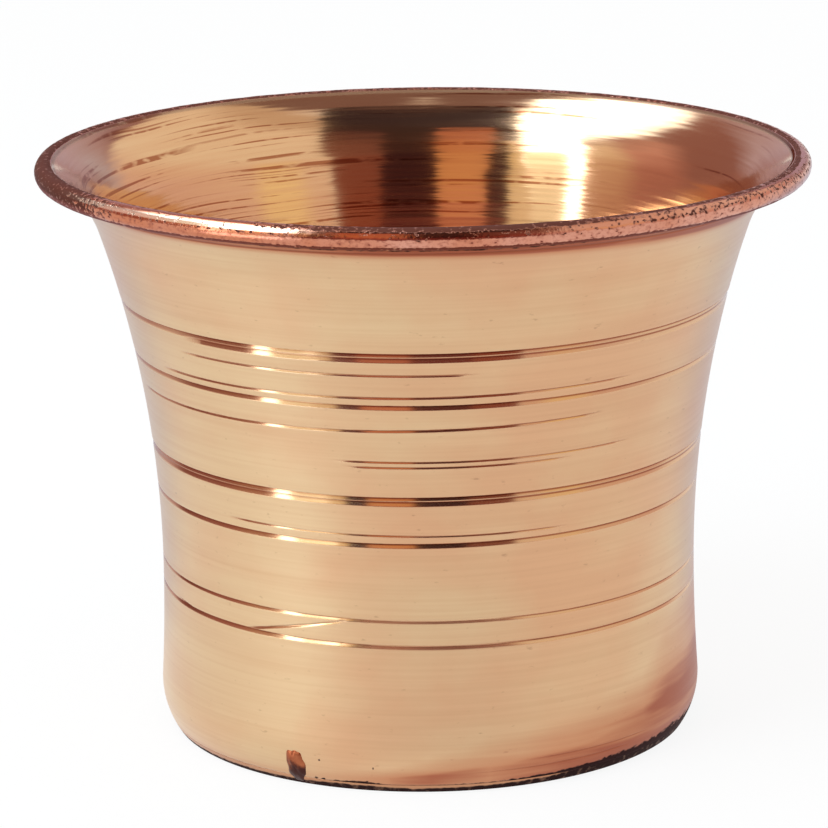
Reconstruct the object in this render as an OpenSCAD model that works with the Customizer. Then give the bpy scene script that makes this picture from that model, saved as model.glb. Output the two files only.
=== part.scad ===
// Panchpatra: a small copper cup with a flared mouth, a wired rim and turned grooves.
// Millimetres. The origin is the centre of the underside, with +Z up.

/* [Cup] */
// Height from the underside of the base to the top of the rim
cup_height = 57.4; // [52:0.1:64]
// Diameter over the rolled rim
rim_d = 76; // [70:0.5:84]
// Thickness of the copper sheet that the wall is spun from
sheet_t = 0.6; // [0.4:0.05:0.8]

/* [Wall] */
// Outer diameter at the waist, the narrowest place of the wall
waist_d = 53.1; // [48:0.1:58]
// Height of the waist
waist_h = 16.5; // [14:0.1:20]
// How far the edge of the rim stands out past the neck, where the lip begins
lip_out = 6.05; // [5.2:0.05:7]
// How far the top of the rim stands above the neck
lip_h = 6.9; // [5.5:0.1:8]

/* [Foot] */
// How far the foot stands out past the waist, on the radius
foot_out = 0.4; // [0.2:0.05:1]
// Height where the wall stops widening and begins to turn in
foot_h = 4.6; // [3.6:0.1:6]
// Outer radius of the turned-in corner
foot_turn_r = 7.5; // [6.5:0.1:9]
// Thickness of the base disc
base_t = 0.8; // [0.5:0.05:1.2]
// Leg of the braze fillet round the inside of the base
braze_leg = 1.2; // [0.8:0.05:1.6]
// How hollow the fillet is, from a straight slope at 0 to a full round at 1
braze_hollow = 0.6; // [0:0.05:0.8]

/* [Rim] */
// Diameter of the wire inside the rolled rim
wire_d = 0.9; // [0.5:0.05:1.2]
// Clearance between the wire and the sheet that is rolled round it
wire_gap = 0.04; // [0.02:0.01:0.08]
// Open crease between the end of the roll and the wall
crease_gap = 0.25; // [0.15:0.01:0.35]

/* [Turned grooves] */
// Heights of the grooves, from the foot up
groove_heights = [14.8, 17.3, 24.8, 29.2, 36.35, 38.7, 43.7]; // [10:0.05:46]
// Width of each groove, in the same order
groove_widths = [0.45, 0.35, 0.5, 0.9, 0.3, 0.5, 0.85]; // [0.2:0.05:1]
// Slope of a groove's sides where they meet the wall
groove_slope = 48; // [30:1:65]

/* [Hidden] */
$fn = 180;

// Steps in each curved stretch of a section
corner_steps = 8;
sweep_steps = 12;
lip_steps = 12;
roll_steps = 26;
braze_steps = 6;

// Key points of the outer face, as [radius, height]
waist = [waist_d / 2, waist_h];
neck = [rim_d / 2 - lip_out, cup_height - lip_h];
foot = [waist.x + foot_out, foot_h];

// The two sweeps leave the waist upright, one up to the neck and one down to the foot
function sweep_r(p) = let (d = p - waist) d * d / (2 * d.x);
upper_r = sweep_r(neck);
lower_r = sweep_r(foot);
upper_c = waist + [upper_r, 0];
lower_c = waist + [lower_r, 0];
neck_tilt = asin((neck.y - waist.y) / upper_r);
foot_tilt = asin((waist.y - foot.y) / lower_r);

// The corner of the foot curves the other way, from the end of the lower sweep
corner_c = foot - foot_turn_r * [cos(foot_tilt), sin(foot_tilt)];
function corner_angle(r, z) = asin((z - corner_c.y) / r);

// The roll goes round the wire, and the rim touches its full height and diameter
roll_r = wire_d / 2 + wire_gap;
bead_r = roll_r + sheet_t;
wire_c = [rim_d / 2 - bead_r, cup_height - bead_r];

// The lip is the one arc that is tangent to the upper sweep at the neck and to the roll
neck_out = [cos(neck_tilt), -sin(neck_tilt)];
neck_off = neck - wire_c;
lip_r = (roll_r * roll_r - neck_off * neck_off) / (2 * (neck_out * neck_off + roll_r));
lip_c = neck + lip_r * neck_out;
roll_start = atan2(wire_c.y - lip_c.y, wire_c.x - lip_c.x);
roll_end = roll_start - 360 + acos((roll_r - crease_gap) / bead_r);

function on_circle(c, r, a) = c + r * [cos(a), sin(a)];

// Points of an arc without its last one, so that arcs join end to end
function arc(c, r, from, to, steps) =
    [for (i = [0 : steps - 1]) on_circle(c, r, from + (to - from) * i / steps)];

function backwards(list) = [for (i = [len(list) - 1 : -1 : 0]) list[i]];

// One face of the sheet from the base to the end of the roll, set in from the outer face
function sheet_face(inset) =
    let (turn_r = foot_turn_r - inset)
    concat(
        arc(corner_c, turn_r, corner_angle(turn_r, base_t), foot_tilt, corner_steps),
        arc(lower_c, lower_r + inset, 180 + foot_tilt, 180, sweep_steps),
        arc(upper_c, upper_r + inset, 180, 180 - neck_tilt, sweep_steps),
        arc(lip_c, lip_r + inset, 180 - neck_tilt, roll_start, lip_steps),
        arc(wire_c, roll_r + inset, roll_start, roll_end, roll_steps),
        [on_circle(wire_c, roll_r + inset, roll_end)]
    );

// Cut of the round-nosed tool that leaves a groove of this width at this height
module groove_cut(z, width) {
    sweep_c = z > waist.y ? upper_c : lower_c;
    face_r = sweep_c.x - waist.x;
    on_face = [sweep_c.x - sqrt(pow(face_r, 2) - pow(z - waist.y, 2)), z];
    tool_r = width / 2 / sin(groove_slope);
    translate(on_face + (sweep_c - on_face) / face_r * tool_r * cos(groove_slope)) circle(tool_r);
}

module sheet_section() {
    polygon(concat(sheet_face(0), backwards(sheet_face(sheet_t))));
}

// Wall of one sheet: turned-in foot, waist, neck, lip and rolled rim, with the grooves cut in
module cup_wall() {
    color("#d8a37c") rotate_extrude() difference() {
        sheet_section();
        for (i = [0 : len(groove_heights) - 1]) groove_cut(groove_heights[i], groove_widths[i]);
    }
}

// Ring of wire that stiffens the rim
module rim_wire() {
    color("#b06a45") rotate_extrude() translate(wire_c) circle(wire_d / 2);
}

// Base that the wall stands on, its edge turned to the curve of the foot
module base_disc() {
    under = corner_angle(foot_turn_r, 0);
    top = corner_angle(foot_turn_r, base_t);
    edge = arc(corner_c, foot_turn_r, under, top, corner_steps);
    color("#c98f69") rotate_extrude()
        polygon(concat([[0, 0]], edge, [on_circle(corner_c, foot_turn_r, top), [0, base_t]]));
}

// Hollow fillet of braze between the base and the inside of the wall
module base_braze() {
    inner_r = foot_turn_r - sheet_t;
    low = on_circle(corner_c, inner_r, corner_angle(inner_r, base_t));
    high = on_circle(corner_c, inner_r, corner_angle(inner_r, base_t + braze_leg));
    toe = low - [braze_leg, 0];
    pull = braze_hollow * low + (1 - braze_hollow) * (toe + high) / 2;
    slope = [for (i = [0 : braze_steps]) let (t = i / braze_steps)
        pow(1 - t, 2) * high + 2 * t * (1 - t) * pull + pow(t, 2) * toe];
    into_wall = [sheet_t / 2, 0];
    color("#8f6a4c") rotate_extrude() difference() {
        polygon(concat(slope, [low + into_wall, high + into_wall]));
        sheet_section();
    }
}

cup_wall();
rim_wire();
base_disc();
base_braze();
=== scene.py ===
# %% [markdown]
# # A small copper cup
# The object is a panchpatra, the little cup that holds water for offerings. A maker spins it from copper
# sheet, rolls the rim round a wire, brazes a base under it and scribes rings round it on the lathe.
# The CAD model gives its sizes. This script dresses it: finer surfaces, real finishes, light and a camera.

# %% Load the CAD frame
import math
from functools import partial

import bpy
import numpy as np
from mathutils import Matrix, Vector


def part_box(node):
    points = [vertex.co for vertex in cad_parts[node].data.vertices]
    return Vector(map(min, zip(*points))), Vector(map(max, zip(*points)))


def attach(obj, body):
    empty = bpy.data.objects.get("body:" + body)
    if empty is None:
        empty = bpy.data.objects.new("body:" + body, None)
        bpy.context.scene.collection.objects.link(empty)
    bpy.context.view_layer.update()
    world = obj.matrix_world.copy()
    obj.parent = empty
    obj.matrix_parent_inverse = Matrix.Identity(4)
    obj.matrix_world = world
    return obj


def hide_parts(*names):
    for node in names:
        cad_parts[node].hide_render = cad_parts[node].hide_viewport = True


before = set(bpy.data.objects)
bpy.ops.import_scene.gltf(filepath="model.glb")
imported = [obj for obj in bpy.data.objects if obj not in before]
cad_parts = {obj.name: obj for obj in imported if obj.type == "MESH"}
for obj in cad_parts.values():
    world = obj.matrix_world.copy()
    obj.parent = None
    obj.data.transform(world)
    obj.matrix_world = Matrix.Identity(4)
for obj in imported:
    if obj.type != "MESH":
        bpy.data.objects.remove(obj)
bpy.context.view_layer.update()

# %% [markdown]
# ## The section of the cup
# A spun cup is one section turned round an axis. Three sizes come from the CAD frame. The rest are the
# maker's own: where the waist is, how the lip leaves the neck, how thick the sheet is. Every curve is an arc
# that meets the next one without a kink, so the section is worked out, not drawn by eye.

# %% Sizes in metres
MM = 0.001
rim_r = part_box("cup_wall")[1].x
cup_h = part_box("cup_wall")[1].z
base_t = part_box("base_disc")[1].z
sheet = 0.6 * MM
wire_r = 0.45 * MM
wire_gap = 0.04 * MM
crease = 0.25 * MM
lip_out = 6.05 * MM
lip_h = 6.9 * MM
foot_out = 0.4 * MM
foot_h = 4.6 * MM
foot_turn = 7.5 * MM
waist = np.array([26.55, 16.5]) * MM
neck = np.array([rim_r - lip_out, cup_h - lip_h])
foot = np.array([waist[0] + foot_out, foot_h])
print("rim radius", round(rim_r / MM, 2), "height", round(cup_h / MM, 2), "base", round(base_t / MM, 2))

# %% Arcs of the section


def sweep_radius(end):
    """Radius of the arc that leaves the waist upright and reaches this point."""
    step = end - waist
    return step @ step / (2 * step[0])


def heading(degrees):
    """Unit step in the section, at this angle up from straight out."""
    return np.array([math.cos(math.radians(degrees)), math.sin(math.radians(degrees))])


upper_r = sweep_radius(neck)
lower_r = sweep_radius(foot)
upper_c = waist + [upper_r, 0]
lower_c = waist + [lower_r, 0]
neck_tilt = math.degrees(math.asin((neck[1] - waist[1]) / upper_r))
foot_tilt = math.degrees(math.asin((waist[1] - foot[1]) / lower_r))
corner_c = foot - foot_turn * heading(foot_tilt)
roll_r = wire_r + wire_gap
bead_r = roll_r + sheet
wire_c = np.array([rim_r - bead_r, cup_h - bead_r])
neck_out = heading(-neck_tilt)
neck_off = neck - wire_c
lip_r = (roll_r ** 2 - neck_off @ neck_off) / (2 * (neck_out @ neck_off + roll_r))
lip_c = neck + lip_r * neck_out
roll_start = math.degrees(math.atan2(wire_c[1] - lip_c[1], wire_c[0] - lip_c[0]))
roll_end = roll_start - 360 + math.degrees(math.acos((roll_r - crease) / bead_r))
print("sweep radii", round(upper_r / MM, 1), round(lower_r / MM, 1), "lip radius", round(lip_r / MM, 2))

# %% [markdown]
# ## The rings on the outside
# The rings were scribed by hand while the cup turned. Some are double cuts, some are one thin line that the
# tool lost after a third of a turn, and one slipped from its ring up into the next. A flat pattern would not
# catch the light, so each is a real cut: a long flank that faces up, and a short steep one above it. Brown
# smut stayed in the cuts, most on the left. On the widest ones in front, the short upper flank is painted
# dark as shade. The lowest rings were pressed more lightly there. Angles go round from the front, with the
# right-hand side positive.

# %% Rings in millimetres: height at the start, height at the end, width, start, end, lean
ALL_ROUND = (-200, 200)
rings = [
    (43.69, 43.69, 0.56, *ALL_ROUND, 0.00),
    (43.28, 43.28, 0.52, -50, 200, 0.00),
    (41.72, 41.72, 0.24, -52, 10, 0.00),
    (39.50, 39.50, 0.26, -60, 42, 0.17),
    (38.52, 38.52, 0.50, *ALL_ROUND, 0.03),
    (36.21, 36.21, 0.28, -75, 36, 0.40),
    (33.04, 33.04, 0.22, -19, 44, 0.00),
    (32.50, 32.50, 0.22, -17, 30, 0.00),
    (29.29, 29.29, 0.54, *ALL_ROUND, 0.05),
    (28.88, 28.88, 0.50, *ALL_ROUND, 0.05),
    (25.65, 25.65, 0.18, -45, 30, -0.10),
    (24.69, 24.69, 0.48, *ALL_ROUND, 0.06),
    (17.12, 17.12, 0.34, *ALL_ROUND, -0.15),
    (14.62, 14.62, 0.44, *ALL_ROUND, -0.15),
    (14.65, 17.10, 0.28, -43, -16, 0.00),
    (15.15, 14.65, 0.22, -68, -55, 0.00),
    (2.00, 2.15, 0.16, 6, 46, 0.00),
    (2.90, 2.90, 0.14, 20, 52, 0.00),
]
flank = math.tan(math.radians(29))
low_share = 0.9
run_out = 5
scratch_width = 0.17
shaded_ring_width = 0.45
light_hand_below = 20
print("rings:", len(rings))

# %% How the rings change round the cup: angles, then the share at each
smut_on_flank = ((-35, -31, -18, -13), (1, 0.4, 0.4, 1))
smut_in_cut = ((-62, -52, -35, -32, 12, 18), (1, 0.7, 0.7, 0, 0, 0.15))
hand_pressure = ((-18, -12, 14, 22), (1, 0.45, 0.45, 1))
# Painted shade: the short upper flank of the widest rings is darkened in front.
shade_in_front = ((-18, -13, 12, 22), (0, 1, 1, 0))

# How fast each mark grows in from the edges of a cut, then the parts of its width that smut and painted shade
# fill
bare_gain, smut_gain, scratch_gain = 12, 3, 2
scratch_smut = 0.6
smutty_flank = (0.5, 1.04, 8, 12)
shaded_corner = (0.84, 1.06, 20, 20)


def within(along, low, high, up_rate, down_rate):
    """1 on a part of a ring's width, with sloping ends."""
    return ((along - low) * up_rate).clip(0, 1) * ((high - along) * down_rate).clip(0, 1)


def scribe(angle, height):
    """Depth of the rings below the skin in metres, the bare cut metal, its brown line and the painted shade
    in its upper corner.
    """
    depth, bright, line, corner_shade = np.zeros((4, *np.broadcast(angle, height).shape))
    for first, last, width, start, end, lean in rings:
        middle = first + (last - first) * (angle - start) / (end - start) + lean * np.sin(np.radians(angle))
        along = (height / MM - middle) / width + 0.5
        form = np.minimum(along / low_share, (1 - along) / (1 - low_share)).clip(0, 1)
        held = (np.minimum(angle - start, end - angle) / run_out).clip(0, 1)
        if first < light_hand_below:
            held = held * np.interp(angle, *hand_pressure)
        depth = np.maximum(depth, form * held * flank * width * low_share * MM)
        if width < scratch_width:
            line = np.maximum(line, scratch_smut * (form * scratch_gain).clip(0, 1) * held)
            continue
        bright = np.maximum(bright, (form * bare_gain).clip(0, 1) * held)
        line = np.maximum(line, within(along, *smutty_flank) * held * np.interp(angle, *smut_on_flank))
        line = np.maximum(line, (form * smut_gain).clip(0, 1) * held * np.interp(angle, *smut_in_cut))
        # Painted shade on the upper corner of a wide cut.
        if width > shaded_ring_width:
            corner_shade = np.maximum(corner_shade, within(along, *shaded_corner) * np.interp(angle, *shade_in_front))
    return depth, bright, line, corner_shade


print("deepest ring", round(flank * low_share * max(ring[2] for ring in rings), 2), "mm")

# %% [markdown]
# ## The wall, turned like on a lathe
# A screw modifier could turn the section, but then every ring would be the same all round. Here the wall is
# a grid of rows and columns: each row is one height, each column one angle. The rows lie close together
# where a ring is cut and far apart where the skin is plain.

# %% Rows of the outer face
COLUMNS = 720
around = np.linspace(-180, 180, COLUMNS, endpoint=False)
fine_step = 0.05 * MM
least_step = 0.2 * fine_step
plain_step = 0.6 * MM
foot_step = 0.15 * MM
foot_rows_to = 3
margin = 0.12


def outer_rows():
    """Heights of the rows from the base to the neck."""
    bands = []
    for first, last, width, _, _, lean in rings:
        low = min(first, last) - width / 2 - abs(lean) - margin
        high = max(first, last) + width / 2 + abs(lean) + margin
        bands.append((low, high))
    heights = [base_t]
    while heights[-1] < neck[1]:
        here = heights[-1] / MM
        inside = any(low <= here <= high for low, high in bands)
        ahead = [low * MM - heights[-1] for low, high in bands if low > here]
        step = fine_step if inside else min([plain_step if here > foot_rows_to else foot_step, *ahead])
        heights.append(heights[-1] + max(step, least_step))
    return np.array(heights[:-1])


def outer_radius(z):
    """Radius of the wall's outer face at a height between the base and the neck."""
    corner = corner_c[0] + np.sqrt(foot_turn ** 2 - (np.minimum(z, foot[1]) - corner_c[1]) ** 2)
    lower = lower_c[0] - np.sqrt(lower_r ** 2 - (z - waist[1]) ** 2)
    upper = upper_c[0] - np.sqrt(upper_r ** 2 - (z - waist[1]) ** 2)
    return np.select([z < foot[1], z < waist[1]], [corner, lower], upper)


outer_z = outer_rows()
outer = np.stack([outer_radius(outer_z), outer_z], -1)
print("rows on the outer face:", len(outer))

# %% The rest of the section: lip, roll, bead and inner face, each with its number of rows


def arc(centre, radius, start, end, count):
    """Points along an arc of the section, without the last one."""
    turn = np.radians(np.linspace(start, end, count, endpoint=False))
    return centre + radius * np.stack([np.cos(turn), np.sin(turn)], -1)


def corner_angle(radius, z):
    """Where the corner of the foot, with this radius, reaches a height."""
    return math.degrees(math.asin((z - corner_c[1]) / radius))


inner_turn = foot_turn - sheet
low_edge = corner_angle(inner_turn, base_t)
mid_bowl = 180 - 0.65 * neck_tilt
strip_out = (1.5 * MM, 2.7 * MM)
strip_low, strip_high = (math.degrees(math.acos((neck[0] + out - lip_c[0]) / lip_r)) for out in strip_out)
stretches = {
    "outer": outer,
    "under_lip": arc(lip_c, lip_r, 180 - neck_tilt, strip_low, 16),
    "under_bead": arc(lip_c, lip_r, strip_low, strip_high, 40),
    "by_roll": arc(lip_c, lip_r, strip_high, roll_start, 12),
    "in_roll": arc(wire_c, roll_r, roll_start, roll_end, 20),
    "bead": arc(wire_c, bead_r, roll_end, roll_start, 64),
    "lip": arc(lip_c, lip_r + sheet, roll_start, 180 - neck_tilt, 64),
    "bowl": arc(upper_c, upper_r + sheet, 180 - neck_tilt, mid_bowl, 80),
    "bowl_deep": arc(upper_c, upper_r + sheet, mid_bowl, 180, 50),
    "bowl_low": arc(lower_c, lower_r + sheet, 180, 180 + foot_tilt, 20),
    "corner": arc(corner_c, inner_turn, foot_tilt, low_edge, 12),
}
section = np.concatenate(list(stretches.values()))
counts = [len(points) for points in stretches.values()]
stretch_of = np.repeat(list(stretches), counts)
part = {name: (stretch_of == name)[:, None] for name in stretches}
print("section points:", len(section))

# %% [markdown]
# ## What the spinning tool and the bench left
# The inside kept the faint ridges of the spinning tool, long round the cup and short up it. The bead was
# pressed by hand over its wire, so it is a little lumpy. A noise texture could push the mesh about, but it
# knows nothing of round and up. Waves with whole numbers of lobes give both without a seam, and a fixed
# seed gives the same cup each time. All of it goes into the metal, never out of it.

# %% Waves and the depth of every point
rng = np.random.default_rng(7)
below_skin = 1.2
ridge_depth = 0.008 * MM
lump_depth = 0.035 * MM
fine_ridges = 0.6
fine_lumps = 0.5


def waves(along, spacing, lobes, count):
    """Uneven ripples round the cup: along is the way up the section, spacing a range in metres."""
    total = np.zeros((len(along), COLUMNS))
    for _ in range(count):
        pitch = rng.uniform(*spacing)
        turns = rng.integers(lobes[0], lobes[1] + 1)
        start, tilt = rng.uniform(0, 2 * math.pi, 2)
        sway = np.cos(np.radians(around) * turns + tilt)
        total += np.cos(2 * math.pi * along[:, None] / pitch + start + sway)
    return total / count


steps = np.linalg.norm(np.diff(section, axis=0, append=section[:1]), axis=1)
along = np.cumsum(steps) - steps
ridge = waves(along, (0.9 * MM, 2.6 * MM), (1, 5), 9)
ridge = ridge + fine_ridges * waves(along, (0.5 * MM, 0.9 * MM), (3, 9), 7)
lump = waves(along, (1.5 * MM, 4 * MM), (20, 70), 12)
lump = lump + fine_lumps * waves(along, (0.7 * MM, 1.6 * MM), (90, 190), 12)
in_bowl = part["bowl"] | part["lip"] | part["bowl_deep"] | part["bowl_low"]
ring_depth, ring_bright, ring_line, ring_corner_shade = scribe(around[None, :], section[:, 1:2])
depth = np.where(part["outer"], ring_depth, 0)
depth = depth + np.where(in_bowl, (ridge + below_skin) * ridge_depth, 0)
depth = depth + np.where(part["bead"], (lump + below_skin) * lump_depth, 0)
print("deepest point under the skin:", round(depth.max() / MM, 3), "mm")

# %% [markdown]
# ## Where heat, oxide, wear and painted shade lie
# The materials need to know more than the shape shows. Brazing the base on drove heat up the wall, most on
# the right, where the copper went orange and then dark. Polishing missed the left end of the bead. Painting
# such places by hand would do, but numbers kept at each point are exact and travel with the mesh.
# Some of the marks also paint shade, dark reflections and a highlight into the colour.

# %% Marks at the foot, with heights in millimetres above the base


def fade(value, first, last):
    """Smooth step from 0 at first to 1 at last; first may be the larger of the two."""
    share = np.clip((value - first) / (last - first), 0, 1)
    return share * share * (3 - 2 * share)


def round_table(shares):
    """A number at every angle, from the numbers at a few angles; it joins up at the back."""
    return np.interp(around, list(shares), list(shares.values()), period=360)[None, :]


above_base = (section[:, 1:2] - base_t) / MM
bloom_height = round_table({-180: 3, -60: 0.6, -25: 1, -8: 2, 0: 3, 12: 5, 30: 6, 40: 7, 50: 8, 60: 12,
                            80: 16, 110: 9})
bloom_level = round_table({-180: 0.6, -60: 0.2, -25: 0.3, -8: 0.75, 0: 0.8, 12: 0.6, 30: 0.8, 45: 0.9, 80: 1,
                           110: 0.8})
bloom_gain = 1.6
bloom = bloom_level * (bloom_gain * (1 - above_base / bloom_height)).clip(0, 1)
bloom = np.where(part["outer"], bloom, 0)
oxide_height = round_table({-180: 0.5, -75: 0.01, -24: 0.05, -15: 0.13, -8: 0.05, 10: 0.07, 25: 0.11, 35: 0.2,
                            50: 0.32, 62: 0.46, 75: 0.5, 100: 0.5})
oxide_reach = 3.8
thin_oxide = 0.12
most_oxide = 0.75
painted_shade_darkness = 0.42
oxide_and_shade = (1 - above_base / (oxide_reach * oxide_height)).clip(0, most_oxide)
oxide_and_shade = oxide_and_shade * (oxide_height / thin_oxide).clip(0, 1)
# The painted shade in the ring corners goes into the oxide mark as well.
oxide_and_shade = np.where(part["outer"], np.maximum(oxide_and_shade, painted_shade_darkness * ring_corner_shade), 0)
print("bloom up to", round(bloom.max(), 2), "oxide up to", round(oxide_and_shade.max(), 2))

# %% Spatter of the flux: angle, height and size of each spot
spot_oxide = 0.6
spot_core = 0.3
spatter = ((-24.8, 0.15, 0.34), (-23.2, 0.12, 0.28), (-31.7, 3.1, 0.2), (-23.5, 2.2, 0.18), (-12.1, 1.8, 0.2),
           (-13.6, 0.3, 0.2), (-8.7, 0.8, 0.22))
for spot_angle, spot_height, spot_size in spatter:
    off = np.hypot(np.radians(around - spot_angle) * foot[0] / MM, above_base - spot_height)
    dark_spot = spot_oxide * fade(off, spot_size, spot_core * spot_size)
    oxide_and_shade = np.where(part["outer"], np.maximum(oxide_and_shade, dark_spot), oxide_and_shade)
print("spots of spatter:", len(spatter))

# %% Marks under the bead, in millimetres past the neck
past_neck = (section[:, 0:1] - neck[0]) / MM
near_bead = part["under_bead"] | part["by_roll"]
strip_from = round_table({-180: 1.8, 0: 1.8, 20: 1.65, 40: 1.4, 70: 1.35, 110: 1.6})
strip = np.where(part["under_lip"] | near_bead, fade(past_neck - strip_from, -0.4, 0.3), 0)
# Painted shade, partly oxide: the crease right under the bead is darkened.
oxide_and_shade = np.where(near_bead, painted_shade_darkness * fade(past_neck, 2.15, 2.32), oxide_and_shade)
scribed = fade(past_neck, 1.84, 1.92) * fade(past_neck, 2.10, 2.00)
scribed_depth = 0.05 * MM
# A scribed line, together with painted shade in the crease under the bead.
scribe_and_crease_shade = np.where(near_bead, np.maximum(scribed, fade(past_neck, 2.18, 2.34)), 0)
depth = depth + np.where(part["under_bead"], scribed_depth * scribed, 0)
print("rows under the bead:", int(near_bead.sum()))

# %% Marks on the bead, in degrees round its own section: 0 is straight out and 90 is up
bead_turn = np.degrees(np.arctan2(section[:, 1] - wire_c[1], section[:, 0] - wire_c[0]))[:, None]


def on_bead(shares, rise, fall=None):
    """A band along the bead that fades in, and out again, and is stronger in some places round the rim."""
    band = fade(bead_turn, *rise) * round_table(shares)
    return band * fade(bead_turn, *fall) if fall else band


rough_end = round_table({-180: 0.3, -130: 0.5, -100: 1, -75: 1, -62: 0.95, -54: 0.6, -46: 0.15, -20: 0.12,
                         0: 0.2, 70: 0.25, 90: 0.4, 110: 0.45})
# Partly pits, partly a painted reflection: the dark band on top of the bead at the front.
top_pits_and_reflection = on_bead({-180: 0.3, -30: 0.1, -18: 0.7, -5: 0.95, 20: 0.95, 32: 0.45, 45: 0.2}, (38, 52))
pit_band = on_bead({-180: 0.3, 10: 0.2, 25: 0.32, 35: 0.46, 80: 0.5, 100: 0.5}, (2, 20), (72, 56))
# Painted reflection: a dark line just under the pale crest.
painted_reflection_under_crest = on_bead({-180: 0, -64: 0, -56: 0.46, -20: 0.46, -10: 0.1}, (8, 16), (30, 22))
line_from = round_table({-180: 84, 20: 84, 28: 60, 70: 62, 85: 84})
line_level = round_table({-180: 0.7, -60: 0.95, -30: 0.7, 20: 0.6, 30: 0.9, 60: 0.8, 90: 1})
inner_line = fade(bead_turn - line_from, 0, 12) * line_level
# Painted shade: the underside of the bead darkens towards the crease.
painted_crease_shade = fade(bead_turn, -33, -43)
# All dark marks on the bead together: tarnish, painted shade and painted reflections.
dark_places = np.broadcast_arrays(rough_end, top_pits_and_reflection, pit_band, inner_line, painted_crease_shade, painted_reflection_under_crest)
tarnish_and_painted_dark = np.where(part["bead"], np.max(dark_places, axis=0), 0)
# Painted highlight: the pale crest at the front left.
crest_painted_highlight = on_bead({-180: 0, -66: 0, -58: 1, -22: 1, -14: 0}, (22, 28), (56, 48))
grain_level = round_table({-180: 0.5, -62: 0.9, -48: 0.15, -15: 0.15, 0: 0.5, 40: 0.7})
grainy = np.maximum(fade(bead_turn, 42, 18), grain_level)
print("tarnish on the bead, mean:", round(tarnish_and_painted_dark[part["bead"][:, 0]].mean(), 2))

# %% Marks inside, and all of them together
from_roll = (np.hypot(section[:, 0:1] - wire_c[0], section[:, 1:2] - wire_c[1]) - bead_r) / MM
edge_level = round_table({-180: 0.3, -120: 0.5, -60: 0.9, -30: 0.7, 20: 0.7, 30: 1, 90: 1})
lip_edge = np.where(part["lip"], fade(from_roll, 0.12, 0.03) * edge_level, 0)
drag_level = round_table({-180: 0.95, -60: 1, -20: 0.5, 90: 0.3, 150: 0.5})
marks = {
    "cut": np.where(part["outer"], ring_bright, 0),
    "cut_line_and_crease_shade": np.maximum(np.where(part["outer"], ring_line, 0), scribe_and_crease_shade),
    "heat_bloom": np.maximum(bloom, strip),
    "oxide_and_shade": oxide_and_shade,
    "tarnish_and_painted_dark": tarnish_and_painted_dark,
    "dragged": np.where(in_bowl, drag_level, 0),
    "tan_side": round_table({-180: 0.5, -70: 0.8, -30: 0.9, -10: 0.6, 20: 0.3, 40: 0.25, 55: 0.5}),
    "grainy": grainy,
    "crest_painted_highlight": crest_painted_highlight,
    "low_half": fade(bead_turn, 0, -20),
    "lip_edge": lip_edge,
}
print("marks kept:", list(marks))

# %% [markdown]
# ## From rows and columns to a mesh
# The helpers below join a grid of points into one closed skin and store the marks on it. They also lay the
# grid out flat as a UV map, so that other programs can carry the finish as a picture. Blender could unwrap
# the skin by itself, but rows and columns are a flat map already. The cup stands a little uneven: its rim
# is highest at the front left and dips half a millimetre across from there.

# %% How the rim dips, and which way is out of the metal
high_side = -35
sag = 0.245 * MM
sag_from = 44.6 * MM


def dip(height):
    """How far the rim hangs below its highest place, nothing below the top ring."""
    return -sag * (1 - np.cos(np.radians(around - high_side))) * fade(height, sag_from, cup_h)


def out_of_metal(points):
    """Directions square to a closed section, away from the metal."""
    way = np.roll(points, -1, 0) - np.roll(points, 1, 0)
    square = np.stack([way[:, 1], -way[:, 0]], -1)
    return square / np.linalg.norm(square, axis=1)[:, None]


print("the rim dips by", round(2 * sag / MM, 2), "mm")

# %% Flat map of a turned skin


def lay_flat(mesh, rows):
    """UV map of a turned skin: once round is the width, the way along the section is the height."""
    corner = np.empty(len(mesh.loops), np.int32)
    mesh.loops.foreach_get("vertex_index", corner)
    start = np.empty(len(mesh.polygons), np.int32)
    size = np.empty(len(mesh.polygons), np.int32)
    mesh.polygons.foreach_get("loop_start", start)
    mesh.polygons.foreach_get("loop_total", size)
    face = np.repeat(np.arange(len(start)), size)
    column = corner % COLUMNS
    row = corner // COLUMNS
    first_column = column[start][face]
    first_row = row[start][face]
    column = np.where((first_column == COLUMNS - 1) & (column == 0), COLUMNS, column)
    row = np.where((first_row == rows - 1) & (row == 0), rows, row)
    flat = np.stack([column / COLUMNS, row / (rows + 1)], -1).astype(np.float32)
    mesh.uv_layers.new(name="OFBake").uv.foreach_set("vector", flat.ravel())


print("columns in the flat map:", COLUMNS)

# %% Turned skin


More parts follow.
